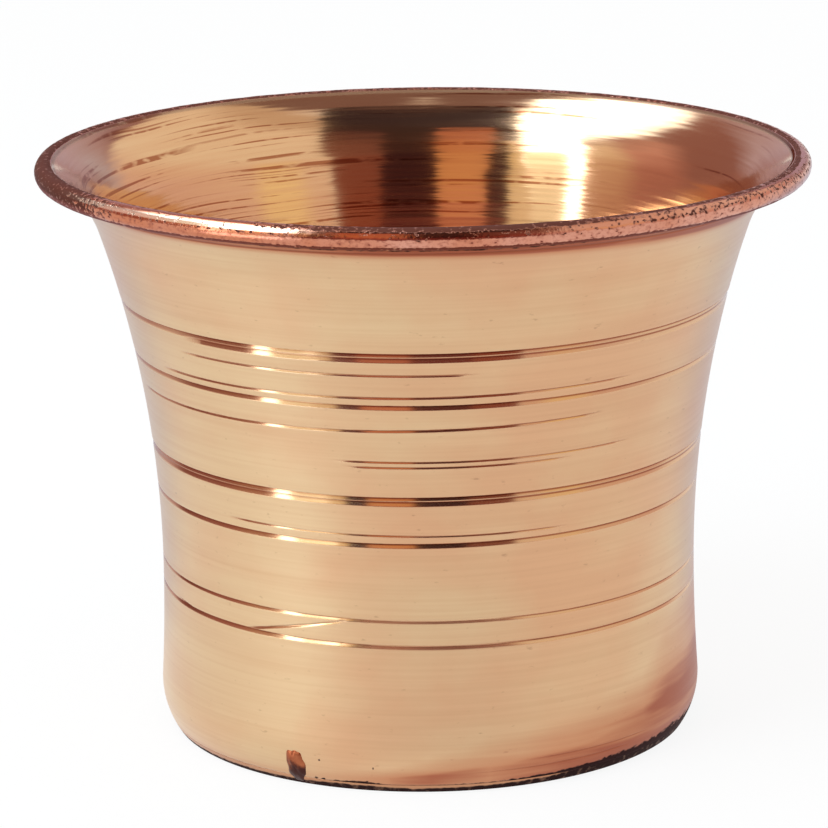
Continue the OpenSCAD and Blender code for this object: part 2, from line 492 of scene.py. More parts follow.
def turned(name, points, sunk, marks, capped=False):
    """Mesh object from a section pressed in by sunk, closed on itself, or with its two ends on the axis."""
    rows = len(points)
    away = out_of_metal(points)
    radius = points[:, 0:1] - sunk * away[:, 0:1]
    height = points[:, 1:2] - sunk * away[:, 1:2]
    height = height + dip(height)
    turn = np.radians(around)
    spots = np.stack([radius * np.sin(turn), -radius * np.cos(turn), height], -1).reshape(-1, 3).tolist()
    low = np.arange(rows - 1 if capped else rows)[:, None]
    side = np.arange(COLUMNS)
    after = (side + 1) % COLUMNS
    bottom = low * COLUMNS
    top = (low + 1) % rows * COLUMNS
    faces = np.stack([bottom + side, bottom + after, top + after, top + side], -1).reshape(-1, 4).tolist()
    if capped:
        spots += [[0, 0, float(np.mean(height[0]))], [0, 0, float(np.mean(height[-1]))]]
        end = (rows - 1) * COLUMNS
        faces += [[len(spots) - 2, int(b), int(a)] for a, b in zip(side, after)]
        faces += [[len(spots) - 1, int(end + a), int(end + b)] for a, b in zip(side, after)]
    mesh = bpy.data.meshes.new(name)
    mesh.from_pydata(spots, [], faces)
    mesh.shade_smooth()
    for mark, values in marks.items():
        padded = np.append(np.broadcast_to(values, (rows, COLUMNS)).ravel(), [0, 0] if capped else [])
        mesh.attributes.new(mark, "FLOAT", "POINT").data.foreach_set("value", padded.astype(np.float32))
    lay_flat(mesh, rows)
    made = bpy.data.objects.new(name, mesh)
    bpy.context.scene.collection.objects.link(made)
    print(name, "faces:", len(mesh.polygons))
    return made


wall = turned("copper_wall", section, depth, marks)

# %% [markdown]
# ## Wire, base and braze
# The wire lies hidden in the roll. The base is a disc whose edge follows the curve of the foot, with a
# shallow dish underneath so that the cup stands on a ring and does not rock. The braze lies inside in the
# corner, as a hollow ring that ran unevenly, and one drop of it came out over the seam at the front left.
# Blender's own ring and cylinder would nearly do, but a piece turned from its own section fits the wall.

# %% Wire in the roll
wire = turned("rim_wire_ring", arc(wire_c, wire_r, 0, 360, 24), 0, {})

# %% Base disc
hub = 0.4 * MM
dish_depth = 0.12 * MM
dish_flatness = 6
stain_from, stain_to = 20 * MM, 25.5 * MM
edge_oxide, stain_oxide = 0.8, 0.7
edge = arc(corner_c, foot_turn, corner_angle(foot_turn, 0), corner_angle(foot_turn, base_t), 10)
dish_r = np.linspace(hub, edge[0, 0], 60, endpoint=False)
dish = np.stack([dish_r, dish_depth * (1 - (dish_r / edge[0, 0]) ** dish_flatness)], -1)
top_r = np.linspace(outer_radius(np.array(base_t)), hub, 40)
top = np.stack([top_r, np.full_like(top_r, base_t)], -1)
base_section = np.concatenate([dish, edge, top])
edge_rows = slice(len(dish) - 1, len(dish) + len(edge) + 1)
edge_dark = round_table({-180: 0.8, -75: 0.35, -40: 0.42, -30: 0.5, -20: 0.7, -12: 0.65, -4: 0.48, 12: 0.6,
                         25: 0.75, 35: 1.2, 80: 1.2})
on_edge = np.zeros((len(base_section), COLUMNS))
up_edge = base_section[edge_rows, 1:2] / base_t
on_edge[edge_rows] = edge_oxide * fade(up_edge, edge_dark + 0.25, edge_dark - 0.1)
rim_stain = stain_oxide * fade(base_section[:, 0:1], stain_from, stain_to)
rim_stain[edge_rows] = 0
base = turned("copper_base", base_section, 0, {"oxide_and_shade": np.maximum(on_edge, rim_stain)}, capped=True)

# %% Braze ring
braze_leg = 1.2 * MM
braze_hollow = 0.6
slope_rows = 12
slope_step = 0.15 * MM
sag_depth = 0.05 * MM
high_edge = corner_angle(inner_turn, base_t + braze_leg)
braze_low = corner_c + inner_turn * heading(low_edge)
braze_high = corner_c + inner_turn * heading(high_edge)
toe = braze_low - [braze_leg, 0]
pull = braze_hollow * braze_low + (1 - braze_hollow) * (toe + braze_high) / 2
way = np.linspace(0, 1, slope_rows)[:, None]
slope = (1 - way) ** 2 * braze_high + 2 * way * (1 - way) * pull + way ** 2 * toe
floor_side = np.linspace(toe, braze_low, 6, endpoint=False)[1:]
wall_side = arc(corner_c, inner_turn, low_edge, high_edge, 8)
braze_section = np.concatenate([slope, floor_side, wall_side])
sunk = np.zeros((len(braze_section), COLUMNS))
ripple = waves(np.arange(slope_rows - 2) * slope_step, (2 * MM, 5 * MM), (8, 40), 8)
sunk[1:slope_rows - 1] = (ripple + 1) * sag_depth
braze = turned("braze_ring", braze_section, sunk, {})

# %% [markdown]
# ## The drop of braze on the foot
# A drop that ran out and froze is a low dome with a ragged outline. A squashed ball would not follow the
# curve of the foot, so it is made as a round grid: rings from the middle out to its edge, laid on the foot
# and raised by its thickness. The last rings dip under the skin of the wall, so that no gap shows, and a
# second sheet deeper down closes it.

# %% Braze drop: its size and outline
drop_angle = math.radians(-29.2)
drop_z = 1.95 * MM
drop_lowest = 0.06 * MM
drop_half = (1.08 * MM, 1.8 * MM)
drop_thick = 0.34 * MM
drop_tuck = 0.08 * MM
drop_under = -0.2 * MM
SPOKES = 48
RINGS = 14
squareness = 2.4
spoke = np.linspace(0, 2 * math.pi, SPOKES, endpoint=False)
squarish = (np.abs(np.cos(spoke)) ** squareness + np.abs(np.sin(spoke)) ** squareness) ** (-1 / squareness)
ragged = squarish * (1 + 0.06 * np.sin(3 * spoke + 1) + 0.05 * np.sin(5 * spoke + 2)
                     + 0.04 * np.sin(9 * spoke))


def drop_point(reach, turn, lift):
    """Point on the foot at a share of the way to the drop's edge, raised by lift."""
    z = max(drop_z + drop_half[1] * reach * math.sin(turn), drop_lowest)
    r = float(outer_radius(np.array(z))) + lift
    angle = drop_angle + drop_half[0] * reach * math.cos(turn) / r
    return (r * math.sin(angle), -r * math.cos(angle), z)


print("drop", 2 * drop_half[0] / MM, "mm wide and", drop_thick / MM, "mm thick")

# %% Braze drop: points and faces
dome, tuck_in = 2.6, 6
unevenness = 0.25
under_reach = 0.9
drop_points = [drop_point(0, 0, drop_thick), drop_point(0, 0, drop_under)]
for ring in range(1, RINGS + 1):
    reach = ring / RINGS
    for turn, far in zip(spoke, ragged):
        bump_up = 1 + unevenness * math.sin(3 * turn + 5 * reach) * reach
        lift = drop_thick * (1 - reach ** dome) * bump_up - drop_tuck * reach ** tuck_in
        drop_points.append(drop_point(reach * far, turn, lift))
for turn, far in zip(spoke, ragged):
    drop_points.append(drop_point(under_reach * far, turn, drop_under))
first_ring = 2
under_ring = first_ring + RINGS * SPOKES
drop_faces = []
for k in range(SPOKES):
    n = (k + 1) % SPOKES
    drop_faces.append((0, first_ring + k, first_ring + n))
    for near in range(first_ring, under_ring, SPOKES):
        far = near + SPOKES
        drop_faces.append((near + k, far + k, far + n, near + n))
    drop_faces.append((1, under_ring + n, under_ring + k))
drop_mesh = bpy.data.meshes.new("braze_drop")
drop_mesh.from_pydata(drop_points, [], drop_faces)
drop_mesh.shade_smooth()
drop = bpy.data.objects.new("braze_drop", drop_mesh)
bpy.context.scene.collection.objects.link(drop)
print("drop faces:", len(drop_mesh.polygons))

# %% [markdown]
# ## Colours and nodes
# Finishes are written as the hex colours that a paint program shows. Blender works in linear light, so one
# function turns them. Another small function adds a node, sets its options and links its sockets. A node
# given as a value stands for the first output that it has in use.

# %% Helpers for every material
SHARE, NUMBER_A, NUMBER_B, COLOUR_A, COLOUR_B = 0, 2, 3, 6, 7


def linear(code):
    """Linear red, green, blue and alpha from an sRGB hex colour."""
    parts = [int(code[i:i + 2], 16) / 255 for i in (1, 3, 5)]
    return [p / 12.92 if p <= 0.04045 else ((p + 0.055) / 1.055) ** 2.4 for p in parts] + [1.0]


def add_node(tree, kind, sockets, **settings):
    """A new node with these settings, each named or numbered socket set to a value or linked to a node."""
    node = tree.nodes.new("ShaderNode" + kind)
    for name, value in settings.items():
        setattr(node, name, value)
    for name, value in sockets.items():
        if isinstance(value, bpy.types.Node):
            value = next(output for output in value.outputs if output.enabled)
        if isinstance(value, bpy.types.NodeSocket):
            tree.links.new(value, node.inputs[name])
        else:
            node.inputs[name].default_value = value
    return node


def new_material(name):
    """A material with an empty node tree, and the function that adds a node to that tree."""
    made = bpy.data.materials.new(name)
    made.use_nodes = True
    made.node_tree.nodes.clear()
    return made, partial(add_node, made.node_tree)


def per_mm(*sizes):
    """Mapping scale at which one unit of a pattern is this many millimetres along x, y and z."""
    return [1 / (size * MM) for size in sizes]


print("copper reads as", [round(v, 3) for v in linear("#D9A980")[:3]], "in linear light")

# %% [markdown]
# ## Outside: spun copper, satin polished
# The skin was rubbed with fine abrasive while the cup turned, so it is soft and even, with hairlines that
# run round it. Real hairlines are some hundredths of a millimetre apart, too fine for the picture, so they
# are drawn at a third of a millimetre. Where a ring is cut, the tool left bare bright metal with a brown
# line at the bottom. Heat from the brazing left an orange bloom at the foot, and dark matt oxide at the
# seam. The brown line and the dark crust also paint shade into the crease under the bead, and the crust
# paints it into the upper corners of the widest rings in front. Wider bands, clouds of tan and a few brown
# specks keep the skin from looking like paint.

# %% Satin spun copper: patterns, each with its size in millimetres and its detail
satin, add = new_material("copper_spun_and_satin_polished")
place = add("TexCoord", {}).outputs["Object"]
pattern = {}
for name, size, detail in (("hair", (30, 30, 0.33), 3), ("band", (24, 24, 2.2), 3),
                           ("cloud", (14, 14, 11), 5), ("speck", (1.1, 1.1, 0.45), 2),
                           ("grit", (0.8, 0.8, 0.45), 4)):
    spot = add("Mapping", {"Vector": place, "Scale": per_mm(*size)})
    pattern[name] = add("TexNoise", {"Vector": spot, "Scale": 1.0, "Detail": detail})
here = {name: add("Attribute", {}, attribute_name=name).outputs["Fac"]
        for name in ("cut", "cut_line_and_crease_shade", "heat_bloom", "oxide_and_shade", "tan_side")}
print("patterns for", satin.name, list(pattern))

# %% Satin spun copper: colour
clouds = add("MapRange", {"Value": pattern["cloud"], "From Min": 0.3, "From Max": 0.7,
                          "To Min": -0.6, "To Max": 0.6})
tanned = add("Math", {0: clouds, 1: here["tan_side"]}, operation="ADD", use_clamp=True)
skin = add("Mix", {SHARE: tanned, COLOUR_A: linear("#D9A980"), COLOUR_B: linear("#DCBB90")},
           data_type="RGBA")
uneven = add("MapRange", {"Value": pattern["band"], "From Min": 0.3, "From Max": 0.7,
                          "To Min": 0.7, "To Max": 1.25})
heated = add("Math", {0: here["heat_bloom"], 1: uneven}, operation="MULTIPLY")
# The crust carries the oxide, and also the painted shade in the crease under the bead and in the ring
# corners.
crust = add("Math", {0: pattern["grit"], 1: here["oxide_and_shade"]}, operation="ADD")
bands, lines, specks, orange, crust = (
    add("MapRange", {"Value": source, "From Min": low, "From Max": high, "To Max": most})
    for source, low, high, most in ((pattern["band"], 0.45, 0.75, 0.3), (pattern["hair"], 0.4, 0.75, 0.22),
                                    (pattern["speck"], 0.69, 0.8, 0.34), (heated, 0.0, 0.9, 0.9),
                                    (crust, 0.85, 1.0, 0.95)))
deep = add("MapRange", {"Value": orange, "From Min": 0.65, "From Max": 0.9, "To Max": 0.7})
# The brown line also paints shade into the crease under the bead.
stained = add("Math", {0: here["cut_line_and_crease_shade"], 1: 0.85}, operation="MULTIPLY")
for share, colour in ((bands, "#CD9D74"), (lines, "#C4956F"), (specks, "#84502E"), (orange, "#BE7451"),
                      (deep, "#984E3C"), (here["cut"], "#DEB389"), (stained, "#9A5238"), (crust, "#3B2326")):
    skin = add("Mix", {SHARE: share, COLOUR_A: skin, COLOUR_B: linear(colour)}, data_type="RGBA")
print("colour of", satin.name, len(satin.node_tree.nodes), "nodes")

# %% Satin spun copper: gloss and shader
dull = add("MapRange", {"Value": pattern["hair"], "From Min": 0.2, "From Max": 0.8,
                        "To Min": 0.36, "To Max": 0.44})
gloss = add("Mix", {SHARE: here["cut"], NUMBER_A: dull, NUMBER_B: 0.12})
gloss = add("Mix", {SHARE: crust, NUMBER_A: gloss, NUMBER_B: 0.65})
film = add("Math", {0: crust, 1: here["cut_line_and_crease_shade"]}, operation="MAXIMUM")
film = add("Math", {0: film, 1: here["heat_bloom"]}, operation="MAXIMUM")
smutty = add("Math", {0: here["cut"], 1: 0.02}, operation="MULTIPLY")
smutty = add("Math", {0: here["cut_line_and_crease_shade"], 1: 0.1, 2: smutty}, operation="MULTIPLY_ADD")
smutty = add("Math", {0: crust, 1: smutty}, operation="MAXIMUM")
coat, bare, sheen = (add("MapRange", {"Value": share, "To Min": most, "To Max": 0.0})
                     for share, most in ((film, 0.6), (smutty, 1.0), (crust, 0.5)))
relief = add("Bump", {"Height": pattern["hair"], "Strength": 0.06, "Distance": 0.05 * MM})
relief = add("Bump", {"Height": crust, "Strength": 0.3, "Distance": 0.08 * MM, "Normal": relief})
shader = add("BsdfPrincipled", {"Base Color": skin, "Metallic": bare, "Roughness": gloss, "Normal": relief,
                                "Specular IOR Level": sheen, "Coat Weight": coat, "Coat Roughness": 0.3})
add("OutputMaterial", {"Surface": shader})
print(satin.name, len(satin.node_tree.nodes), "nodes")

# %% [markdown]
# ## Inside: copper as the spinning tool left it
# Nobody rubbed the inside down. It is as bright as the smooth tool made it, so it mirrors the room, broken
# by long thin brown scratches where the tool dragged, most of them on the left. They wander a little, so
# the pattern is pushed up and down by a slow noise before it is drawn, a little wider than real. A dark
# matt line follows the edge where the lip goes over into the bead.

# %% Bright turned copper: patterns, each with its place, size in millimetres, shift and detail
bowl, add = new_material("copper_tool_burnished")
place = add("TexCoord", {}).outputs["Object"]
slow_place = add("Mapping", {"Vector": place, "Scale": per_mm(16, 16, 5)})
slow = add("TexNoise", {"Vector": slow_place, "Scale": 1.0, "Detail": 1.0}).outputs["Color"]
push = add("VectorMath", {0: slow, 1: (0, 0, 0.9 * MM)}, operation="MULTIPLY")
pushed = add("VectorMath", {0: place, 1: push}, operation="ADD")
pattern = {}
for name, where, size, shift, detail in (
        ("drag", pushed, (22, 22, 0.45), (0, 0, 0), 3), ("scratch", pushed, (22, 22, 0.24), (3, 7, 1), 0),
        ("group", pushed, (15, 15, 2.5), (1, 2, 3), 1), ("dash", place, (1.8, 1.8, 0.6), (0, 0, 0), 1),
        ("lean", place, (9, 9, 0.19), (0, 0, 0), 1)):
    spot = add("Mapping", {"Vector": where, "Scale": per_mm(*size), "Location": shift})
    pattern[name] = add("TexNoise", {"Vector": spot, "Scale": 1.0, "Detail": detail})
here = {name: add("Attribute", {}, attribute_name=name).outputs["Fac"] for name in ("dragged", "lip_edge")}
print("patterns for", bowl.name, list(pattern))

# %% Bright turned copper: scratches and colour
dashes = add("MapRange", {"Value": pattern["dash"], "From Min": 0.3, "From Max": 0.5, "To Max": 0.85})
ease = add("Math", {0: pattern["group"], 1: here["dragged"]}, operation="MULTIPLY")
reach = add("MapRange", {"Value": ease, "From Max": 0.6, "To Min": 0.84, "To Max": 0.5})
over_reach = add("Math", {0: pattern["scratch"], 1: reach}, operation="SUBTRACT")
brown = add("MapRange", {"Value": over_reach, "From Min": 0.0, "From Max": 0.12})
brown = add("Math", {0: brown, 1: dashes}, operation="MULTIPLY")
skin = linear("#E6C19A")
for share, colour in ((pattern["drag"], "#DBAB84"), (brown, "#9E5634"), (here["lip_edge"], "#54281E")):
    skin = add("Mix", {SHARE: share, COLOUR_A: skin, COLOUR_B: linear(colour)}, data_type="RGBA")
print("colour of", bowl.name, len(bowl.node_tree.nodes), "nodes")

# %% Bright turned copper: ridges that lean, gloss and shader
relief = add("Bump", {"Height": pattern["drag"], "Strength": 0.12, "Distance": 0.05 * MM})
lean = add("MapRange", {"Value": pattern["lean"], "To Min": -0.024, "To Max": 0.024})
sideways = add("Tangent", {}, direction_type="RADIAL", axis="Z")
leaning = add("VectorMath", {0: sideways, "Scale": lean}, operation="SCALE")
facing = add("VectorMath", {0: relief, 1: leaning}, operation="ADD")
facing = add("VectorMath", {0: facing}, operation="NORMALIZE")
gloss = add("MapRange", {"Value": pattern["drag"], "From Min": 0.3, "From Max": 0.7,
                         "To Min": 0.09, "To Max": 0.15})
bare, sheen = (add("MapRange", {"Value": here["lip_edge"], "To Min": most, "To Max": 0.0})
               for most in (1.0, 0.5))
shader = add("BsdfPrincipled", {"Base Color": skin, "Metallic": bare, "Roughness": gloss, "Normal": facing,
                                "Specular IOR Level": sheen})
add("OutputMaterial", {"Surface": shader})
print(bowl.name, len(bowl.node_tree.nodes), "nodes")

# %% [markdown]
# ## Rim: copper rolled over the wire
# The bead was heated to bend and only wiped with the wheel, so it keeps a rosy skin. A pale crest at the
# front left is a painted highlight. The left end stayed purple-brown and rough, and the right has a row of
# small dark pits where the tool skipped. A dark matt band on top at the front is partly pits and partly a
# painted reflection of the dark curtain overhead, a dark line under the crest is a painted reflection, and
# the underside of the bead by the crease is painted dark as shade. Each could be drawn for itself, but one
# fine noise gives them all: the stronger the mark at a point, the more of the noise turns dark, from single
# pits to a closed crust.

# %% Rolled rim: patterns and dark scale
rim, add = new_material("copper_rolled_and_oxidised")
place = add("TexCoord", {}).outputs["Object"]
pattern = {}
for name, size, detail in (("pit", (0.45, 0.45, 0.3), 3), ("patch", (5, 5, 5), 2),
                           ("grain", (0.45, 0.45, 0.3), 4)):
    spot = add("Mapping", {"Vector": place, "Scale": per_mm(*size)})
    pattern[name] = add("TexNoise", {"Vector": spot, "Scale": 1.0, "Detail": detail})
here = {name: add("Attribute", {}, attribute_name=name).outputs["Fac"]
        for name in ("tarnish_and_painted_dark", "tan_side", "grainy", "crest_painted_highlight", "low_half")}
# The mark holds real tarnish and also painted shade and dark reflections.
pit_from = add("MapRange", {"Value": here["tarnish_and_painted_dark"], "To Min": 0.72, "To Max": 0.28})
over_pit = add("Math", {0: pattern["pit"], 1: pit_from}, operation="SUBTRACT")
dark = add("MapRange", {"Value": over_pit, "From Min": 0.0, "From Max": 0.1, "To Max": 0.94})
print("patterns for", rim.name, list(pattern))

# %% Rolled rim: colour, gloss and shader
patch = add("Math", {0: here["tan_side"], 1: 0.8, 2: pattern["patch"]}, operation="MULTIPLY_ADD")
patch = add("MapRange", {"Value": patch, "From Min": 0.4, "From Max": 1.2})
grain = add("Math", {0: pattern["grain"], 1: here["grainy"]}, operation="MULTIPLY")
fleck = add("MapRange", {"Value": grain, "From Min": 0.46, "From Max": 0.68, "To Max": 0.6})
scale = add("Mix", {SHARE: here["low_half"], COLOUR_A: linear("#552A22"), COLOUR_B: linear("#743228")},
            data_type="RGBA")
skin = linear("#DFA896")
# The pale crest colour is a painted highlight. The dark scale also paints shade and dark reflections on the
# bead.
for share, colour in ((patch, linear("#C87C5C")), (fleck, linear("#96503F")),
                      (here["crest_painted_highlight"], linear("#F0CFB4")), (dark, scale)):
    skin = add("Mix", {SHARE: share, COLOUR_A: skin, COLOUR_B: colour}, data_type="RGBA")
gloss = add("MapRange", {"Value": dark, "To Min": 0.15, "To Max": 0.6})
# The painted highlight is made partly matt, so that it stays pale from every side.
veil = add("Math", {0: here["crest_painted_highlight"], 1: 0.25}, operation="MULTIPLY")
above = add("MapRange", {"Value": here["low_half"], "To Min": 1.0, "To Max": 0.1})
matt = add("Math", {0: dark, 1: above}, operation="MULTIPLY")
veil = add("Math", {0: matt, 1: veil}, operation="MAXIMUM")
bare, sheen = (add("MapRange", {"Value": share, "To Min": most, "To Max": 0.0})
               for share, most in ((veil, 1.0), (dark, 0.5)))
relief = add("Bump", {"Height": grain, "Strength": 0.3, "Distance": 0.08 * MM})
relief = add("Bump", {"Height": dark, "Strength": 0.35, "Distance": 0.1 * MM, "Normal": relief}, invert=True)
shader = add("BsdfPrincipled", {"Base Color": skin, "Metallic": bare, "Roughness": gloss, "Normal": relief,
                                "Specular IOR Level": sheen})
add("OutputMaterial", {"Surface": shader})
print(rim.name, len(rim.node_tree.nodes), "nodes")

# %% [markdown]
# ## Base: rolled copper sheet, annealed
# The disc was cut from rolled sheet and softened in the fire. Its faces keep the fine circles of the lathe
# that trued it, drawn coarser than real, and its edge, beside the seam, is black with oxide. A wave texture
# would make the circles all alike, so they are a noise that changes only with the distance from the axis.

# %% Annealed base: patterns
plate, add = new_material("copper_rolled_and_annealed")
circle_spacing = 0.45 * MM
place = add("TexCoord", {}).outputs["Object"]
flat_place = add("VectorMath", {0: place, 1: (1, 1, 0)}, operation="MULTIPLY")
off_axis = add("VectorMath", {0: flat_place}, operation="LENGTH")
circle_place = add("Math", {0: off_axis, 1: 1 / circle_spacing}, operation="MULTIPLY")
circle = add("TexNoise", {"W": circle_place, "Scale": 1.0, "Detail": 3.0}, noise_dimensions="1D")
pattern = {}
for name, size, detail in (("stain", (9, 9, 9), 4), ("grit", (0.6, 0.6, 0.6), 3)):
    spot = add("Mapping", {"Vector": place, "Scale": per_mm(*size)})
    pattern[name] = add("TexNoise", {"Vector": spot, "Scale": 1.0, "Detail": detail})
# On the base this mark holds only oxide.
oxide_here = add("Attribute", {}, attribute_name="oxide_and_shade").outputs["Fac"]
print("patterns for", plate.name, ["circle", *pattern])

# %% Annealed base: colour, gloss and shader
turned_lines = add("MapRange", {"Value": circle, "From Min": 0.4, "From Max": 0.75, "To Max": 0.4})
crust = add("Math", {0: pattern["grit"], 1: oxide_here}, operation="ADD")
crust = add("MapRange", {"Value": crust, "From Min": 0.8, "From Max": 1.25, "To Max": 0.95})
skin = linear("#D2A27C")
for share, colour in ((pattern["stain"], "#B87C5C"), (turned_lines, "#9A6446"), (crust, "#352126")):
    skin = add("Mix", {SHARE: share, COLOUR_A: skin, COLOUR_B: linear(colour)}, data_type="RGBA")
gloss, bare, sheen = (add("MapRange", {"Value": crust, "To Min": clean, "To Max": crusted})
                      for clean, crusted in ((0.34, 0.62), (1.0, 0.0), (0.5, 0.0)))
relief = add("Bump", {"Height": circle, "Strength": 0.12, "Distance": 0.05 * MM})
relief = add("Bump", {"Height": pattern["grit"], "Strength": 0.1, "Distance": 0.08 * MM, "Normal": relief})
shader = add("BsdfPrincipled", {"Base Color": skin, "Metallic": bare, "Roughness": gloss, "Normal": relief,
                                "Specular IOR Level": sheen})
add("OutputMaterial", {"Surface": shader})
print(plate.name, len(plate.node_tree.nodes), "nodes")

# %% [markdown]
# ## Braze: brass filler as it froze
# Braze metal runs, wets the copper and freezes with a rough skin. Flux and oxide leave it rust-red where it
# is thin and nearly black where it is thick, low on the seam. Height alone would give the black a level
# edge, so the noise of the crust is added to it.

# %% Frozen braze
filler, add = new_material("braze_as_frozen")
soot_from, soot_full = 3.2 * MM, 0.9 * MM
place = add("TexCoord", {}).outputs["Object"]
crust_place = add("Mapping", {"Vector": place, "Scale": per_mm(0.7, 0.7, 0.7)})
crust = add("TexNoise", {"Vector": crust_place, "Scale": 1.0, "Detail": 4.0})
height_up = add("SeparateXYZ", {0: place}).outputs["Z"]
low_down = add("MapRange", {"Value": height_up, "From Min": soot_from, "From Max": soot_full})
soot = add("Math", {0: low_down, 1: crust}, operation="ADD")
soot = add("MapRange", {"Value": soot, "From Min": 0.75, "From Max": 1.15})
skin = linear("#B8704C")
for share, colour in ((crust, "#8E4630"), (soot, "#4A2C28")):
    skin = add("Mix", {SHARE: share, COLOUR_A: skin, COLOUR_B: linear(colour)}, data_type="RGBA")
gloss = add("MapRange", {"Value": crust, "From Min": 0.3, "From Max": 0.7, "To Min": 0.3, "To Max": 0.5})
relief = add("Bump", {"Height": crust, "Strength": 0.3, "Distance": 0.15 * MM})
shader = add("BsdfPrincipled", {"Base Color": skin, "Metallic": 1.0, "Roughness": gloss, "Normal": relief})
add("OutputMaterial", {"Surface": shader})
print(filler.name, len(filler.node_tree.nodes), "nodes")

# %% [markdown]
# ## Wire: drawn copper
# Wire is pulled through a die, which leaves fine lines along it, drawn coarser here. Inside the roll it
# went dull and brown. It is hidden there, so one stretched noise serves for its colour, gloss and relief.

# %% Drawn wire
drawn, add = new_material("copper_drawn_wire")
place = add("TexCoord", {}).outputs["Object"]
draw_place = add("Mapping", {"Vector": place, "Scale": per_mm(6, 6, 0.12)})
draw = add("TexNoise", {"Vector": draw_place, "Scale": 1.0, "Detail": 2.0})
skin = add("Mix", {SHARE: draw, COLOUR_A: linear("#A8674A"), COLOUR_B: linear("#6E3B2B")}, data_type="RGBA")
gloss = add("MapRange", {"Value": draw, "From Min": 0.3, "From Max": 0.7, "To Min": 0.35, "To Max": 0.5})
relief = add("Bump", {"Height": draw, "Strength": 0.15, "Distance": 0.03 * MM})
shader = add("BsdfPrincipled", {"Base Color": skin, "Metallic": 1.0, "Roughness": gloss, "Normal": relief})
add("OutputMaterial", {"Surface": shader})
print(drawn.name, len(drawn.node_tree.nodes), "nodes")

# %% [markdown]
# ## Finishes on the pieces
# The wall has three finishes: satin outside, oxidised on the bead, bright inside. They could be three
# pieces, but the real wall is one sheet, so each row of faces takes its finish from its stretch of the
# section. Then the CAD node that each piece dresses is hidden, and the piece hangs under the root body.
# The drop has no node of its own.

# %% Finishes on the pieces
dressing = (
    (wall, "cup_wall", "copper_wall", (satin, rim, bowl)),
    (wire, "rim_wire", "copper_wire", (drawn,)),
    (base, "base_disc", "copper_base", (plate,)),
    (braze, "base_braze", "braze", (filler,)),
    (drop, None, "braze", (filler,)),
)
for piece, _, _, finishes in dressing:
    for finish in finishes:
        piece.data.materials.append(finish)
finish_of = {"bead": 1, "lip": 2, "bowl": 2, "bowl_deep": 2, "bowl_low": 2, "corner": 2}
row_finish = np.repeat([finish_of.get(name, 0) for name in stretches], counts)
wall.data.polygons.foreach_set("material_index", np.repeat(row_finish, COLUMNS).astype(np.int32))
for piece, node, slot, _ in dressing:
    if node:
        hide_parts(node)
    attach(piece, "root")

# %% [markdown]
# ## The camera
# A long lens from about 40 cm, looking down by 14 and a half degrees. It could be placed by eye. Here its
# place, tilt and focal length were fitted to the outline, the rim and the rings in the photograph, which
# is square.

# %% Camera
PICTURE = 828
focal_px = 4174
camera_at = Vector((0, -0.4020, 0.1347))
pitch, yaw, roll = (math.radians(v) for v in (14.523, -0.177, -0.883))
ahead = Vector((math.sin(yaw) * math.cos(pitch), math.cos(yaw) * math.cos(pitch), -math.sin(pitch)))
level = Vector((math.cos(yaw), -math.sin(yaw), 0))
upward = level.cross(ahead)
right = math.cos(roll) * level + math.sin(roll) * upward
up = math.cos(roll) * upward - math.sin(roll) * level
lens = bpy.data.cameras.new("photo_lens")
lens.sensor_fit = "HORIZONTAL"
lens.sensor_width = 36
lens.lens = focal_px * lens.sensor_width / PICTURE
lens.clip_start = 0.01
camera = bpy.data.objects.new("photo_camera", lens)
camera.matrix_world = Matrix.Translation(camera_at) @ Matrix((right, up, -ahead)).transposed().to_4x4()
bpy.context.scene.collection.objects.link(camera)
bpy.context.scene.camera = camera
print("lens", round(lens.lens, 1), "mm")

# %% [markdown]
# ## The studio
# Metal shows its surroundings, so the surroundings are part of its look. The room and the floor are white,
# and brighter to the eye than to the cup, so that they do not flood it with light.

# %% White room
room_level = 0.8


def looked_at(add):
    """1 for a ray that looks at a thing, straight or mirrored, and 0 for one that gathers light."""
    path = add("LightPath", {}).outputs
    seen = path["Is Camera Ray"]
    for kind in ("Is Glossy Ray", "Is Transmission Ray"):
        seen = add("Math", {0: seen, 1: path[kind]}, operation="MAXIMUM")
    return seen


world = bpy.data.worlds.new("white_room")
bpy.context.scene.world = world
world.use_nodes = True
add = partial(add_node, world.node_tree)
level_now = add("MapRange", {"Value": looked_at(add), "To Min": room_level, "To Max": 1.0})
sky = world.node_tree.nodes["Background"]
sky.inputs["Color"].default_value = (1, 1, 1, 1)
world.node_tree.links.new(level_now.outputs[0], sky.inputs["Strength"])
print("the room lights the cup at", room_level)

# %% White floor
floor_glow = 0.88
floor_half = 3.0
floor_z = -0.05 * MM
floor_mesh = bpy.data.meshes.new("studio_floor")
corners = [(x * floor_half, y * floor_half, floor_z) for x, y in ((-1, -1), (1, -1), (1, 1), (-1, 1))]
floor_mesh.from_pydata(corners, [], [(0, 1, 2, 3)])
floor = bpy.data.objects.new("studio_floor", floor_mesh)
bpy.context.scene.collection.objects.link(floor)
paper, add = new_material("white_paper_floor")
lift = add("Math", {0: looked_at(add), 1: floor_glow}, operation="MULTIPLY")
glow = add("Emission", {"Color": (1, 1, 1, 1), "Strength": lift})
matt = add("BsdfDiffuse", {"Color": linear("#606060")})
both = add("AddShader", {0: glow, 1: matt})
add("OutputMaterial", {"Surface": both})
floor.data.materials.append(paper)
print("floor", 2 * floor_half, "m wide")

# %% Window on the left
cup_middle = Vector((0, 0, 0.04))
above_floor = 0.2 * MM


